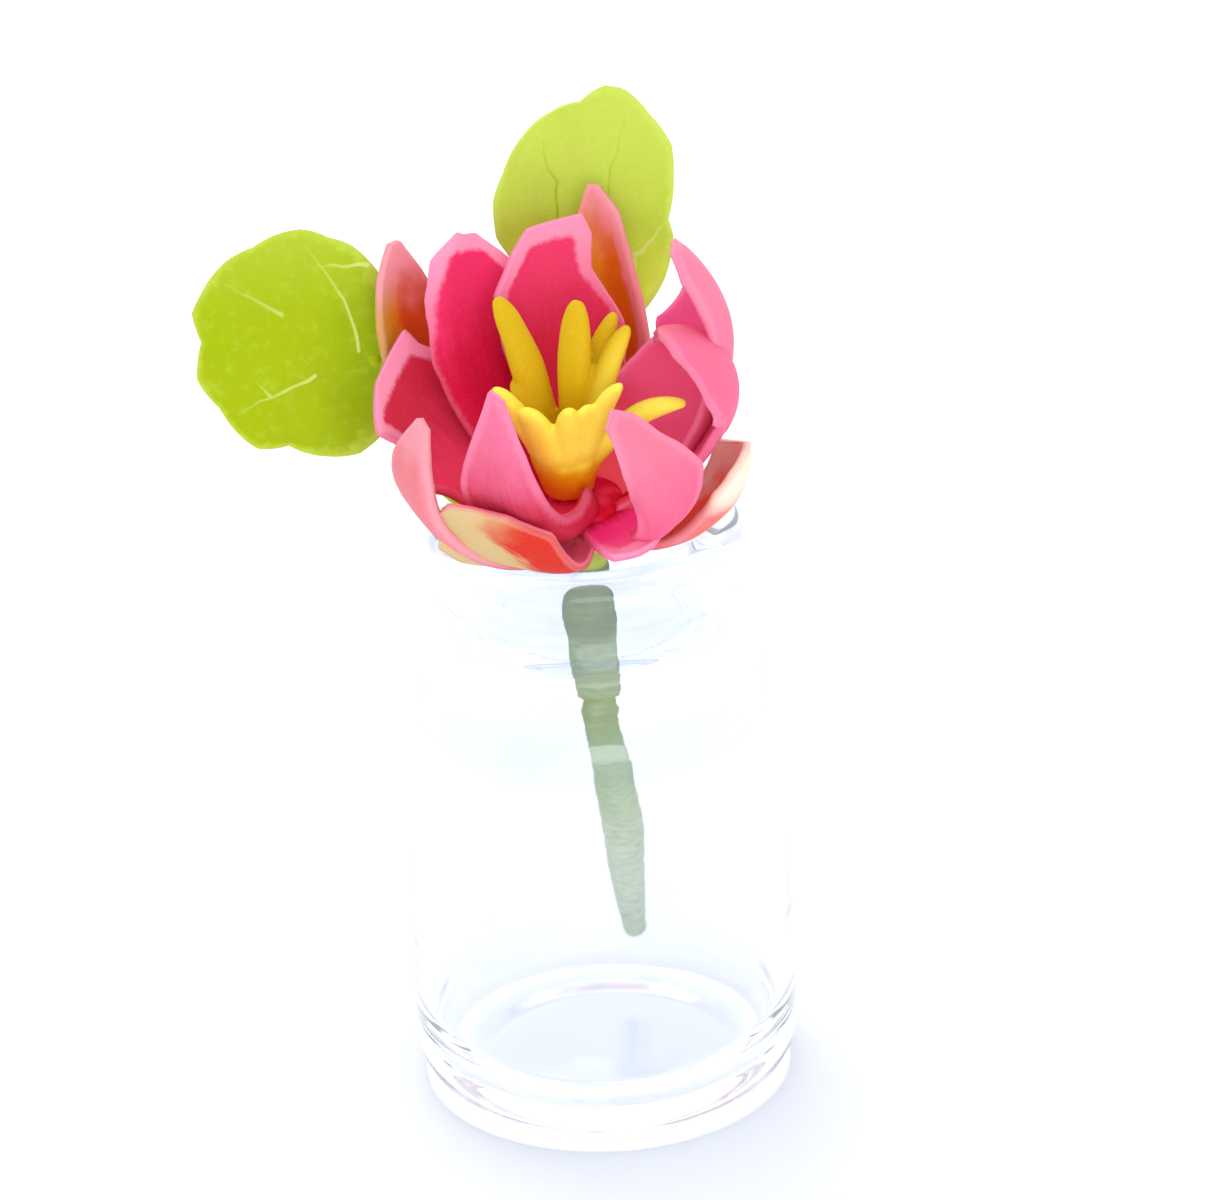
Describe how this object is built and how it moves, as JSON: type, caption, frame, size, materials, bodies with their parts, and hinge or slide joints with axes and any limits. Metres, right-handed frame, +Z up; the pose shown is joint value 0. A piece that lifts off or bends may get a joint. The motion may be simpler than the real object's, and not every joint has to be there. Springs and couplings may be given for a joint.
{
  "type": "clay water lily in glass vial",
  "caption": "Miniature pink water lily with lily pads, modelled in clay on a taped wire stem that leans in an empty clear glass vial; a small desk or doll's house ornament.",
  "frame": {"origin": "middle of the vial's flat underside", "axes": "+Z up along the vial; -Y towards the side that the bloom faces, +X to the bloom's right as seen from there"},
  "size_m": [0.0323, 0.0264, 0.0571],
  "materials": {
    "glass": "clear, polished",
    "stem_tape": "matt crepe tape, wound round wire",
    "pink_clay": "satin clay, paler at the free edges",
    "tinted_clay": "satin clay marbled green, cream, orange and pink",
    "yellow_clay": "satin clay, orange towards the foot",
    "leaf_clay": "satin clay with pressed veins"
  },
  "bodies": {
    "root": {"bottle": "glass", "stem": "stem_tape", "petals": "pink_clay", "outer_petals": "tinted_clay", "stamens": "yellow_clay", "leaf_left": "leaf_clay", "leaf_top": "leaf_clay"}
  },
  "joints": []
}
